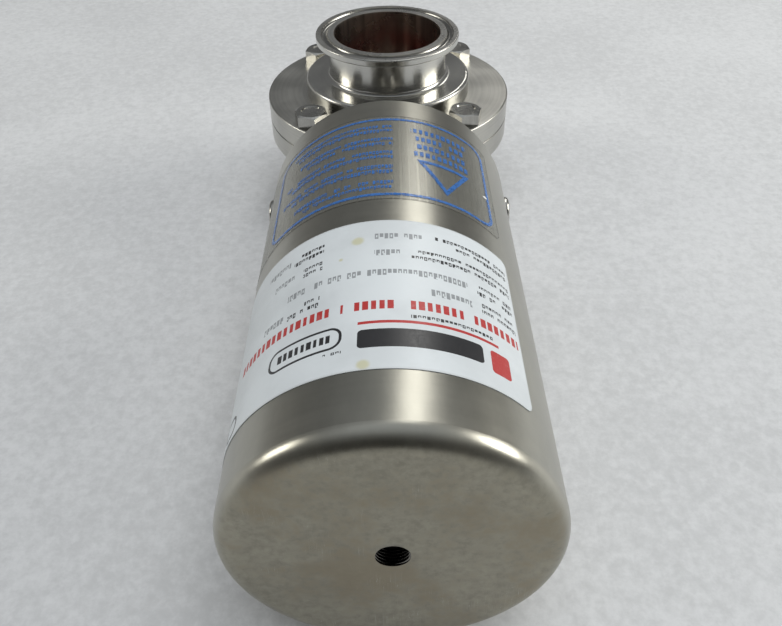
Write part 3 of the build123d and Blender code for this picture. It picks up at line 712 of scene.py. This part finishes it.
def windSpring(node, w):
    low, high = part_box(node)
    mean = (high.x - low.x) / 2 - w["wire"]
    start, end = low.y + w["wire"], high.y - w["wire"]
    whole = math.floor(w["turns"])
    clearSelection()
    bpy.ops.mesh.primitive_circle_add(vertices=wireSides, radius=w["wire"], fill_type="NOTHING",
                                      location=(0, start, axisZ + mean), rotation=(0, math.pi / 2, 0))
    piece = bpy.context.object
    bpy.ops.object.transform_apply(location=True, rotation=True)
    bpy.context.scene.cursor.location = (0, 0, axisZ)
    bpy.ops.object.origin_set(type="ORIGIN_CURSOR")
    coil = piece.modifiers.new("coil", "SCREW")
    coil.axis = "Y"
    coil.angle = w["hand"] * 2 * math.pi * w["turns"] / whole
    coil.screw_offset = (end - start) / whole
    coil.iterations = whole
    coil.steps = coilSteps
    coil.render_steps = coilSteps
    applyModifiers(piece)
    bpy.ops.object.mode_set(mode="EDIT")
    bpy.ops.mesh.select_all(action="SELECT")
    bpy.ops.mesh.remove_doubles(threshold=weld)
    bpy.ops.mesh.select_all(action="DESELECT")
    bpy.ops.mesh.select_non_manifold()
    bpy.ops.mesh.edge_face_add()
    bpy.ops.mesh.select_all(action="SELECT")
    bpy.ops.mesh.normals_make_consistent(inside=False)
    finishPiece(piece, w["name"], finishes["spring"], 50)
    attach(piece, "casing")
    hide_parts(node)
    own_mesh(piece)


for springNode, springData in springs.items():
    windSpring(springNode, springData)
bpy.context.scene.cursor.location = (0, 0, 0)
print("springs wound")


studio = {
    "floorColour": (0.60, 0.605, 0.612),
    "floorSize": 24,
    # height in the sky against its brightness, and how much dimmer it is behind the camera
    "sky": [(0.0, 0.30), (0.12, 0.19), (0.38, 0.15), (0.60, 0.18), (0.84, 0.40), (0.93, 0.62), (1.0, 0.62)],
    "coolness": 0.12,
    "behind": 0.35,
    "behindFrom": (-0.9, 0.3),
    "lights": [
        # name, place, aim, width, height, watts, colour, shows in reflections
        ("farStrip", (0.53, 1.52, 1.74), (0, -0.1, 0.05), 0.50, 1.6, 8.4, (1.0, 0.99, 0.95), True),
        ("leftWindow", (-1.6, 0.06, 0.72), (0, -0.2, 0.05), 0.6, 0.6, 6.6, (1.0, 0.98, 0.9), True),
        ("rightWindow", (1.58, 0.10, 0.80), (0, -0.2, 0.05), 0.9, 0.7, 16, (1.0, 0.99, 0.93), True),
        ("ceiling", (0.25, -0.5, 2.0), (0, -0.2, 0.0), 1.8, 1.8, 21, (0.96, 0.98, 1.0), False),
    ],
}


def layFloor(look):
    clearSelection()
    bpy.ops.mesh.primitive_plane_add(size=look["floorSize"], location=(0, 0, cadBox[0].z))
    floor = bpy.context.object
    floor.name = "floor"
    bpy.ops.object.transform_apply(location=True)
    f = Finish("paleBoard", Roughness=0.62)
    speck = f.noise(f.stretch(300, 300, 300), detail=4, rough=0.65)
    cloud = f.noise(f.stretch(9, 9, 9), detail=4)
    shade = speck * 0.65 + cloud * 0.35
    f.feed("Base Color", f.mottle(shade, look["floorColour"], 0.88, 1.08, 0.32, 0.68))
    floor.data.materials.append(f.material)


def hangLights(look):
    for name, place, aim, wide, tall, watts, colour, mirrored in look["lights"]:
        bpy.ops.object.light_add(type="AREA", location=place)
        lamp = bpy.context.object
        lamp.name = name
        lamp.data.shape = "RECTANGLE"
        lamp.data.size = wide
        lamp.data.size_y = tall
        lamp.data.energy = watts
        lamp.data.color = colour
        lamp.rotation_euler = (Vector(aim) - Vector(place)).to_track_quat("-Z", "Y").to_euler()
        lamp.visible_camera = False
        lamp.visible_glossy = mirrored


def fillAir(look):
    world = bpy.data.worlds.new("studio")
    bpy.context.scene.world = world
    world.use_nodes = True
    tree = world.node_tree
    sky = tree.nodes["Background"]
    place = tree.nodes.new("ShaderNodeTexCoord")
    axes = tree.nodes.new("ShaderNodeSeparateXYZ")
    ramp = tree.nodes.new("ShaderNodeValToRGB")
    tree.links.new(place.outputs["Generated"], axes.inputs[0])
    tree.links.new(axes.outputs["Z"], ramp.inputs[0])
    stops = ramp.color_ramp.elements
    for count, (where, shade) in enumerate(look["sky"]):
        stop = stops[0] if count == 0 else stops[-1] if where == 1.0 else stops.new(where)
        cool = 1 + look["coolness"] * where
        stop.color = (shade, shade * (1 + cool) / 2, shade * cool, 1)
    dim = tree.nodes.new("ShaderNodeMapRange")
    tree.links.new(axes.outputs["Y"], dim.inputs["Value"])
    start, end = look["behindFrom"]
    for socket, value in (("From Min", start), ("From Max", end), ("To Min", look["behind"]), ("To Max", 1)):
        dim.inputs[socket].default_value = value
    tree.links.new(ramp.outputs[0], sky.inputs[0])
    tree.links.new(dim.outputs[0], sky.inputs[1])


layFloor(studio)
hangLights(studio)
fillAir(studio)
bpy.context.scene.view_settings.view_transform = "Standard"
print("floor and lights ready")
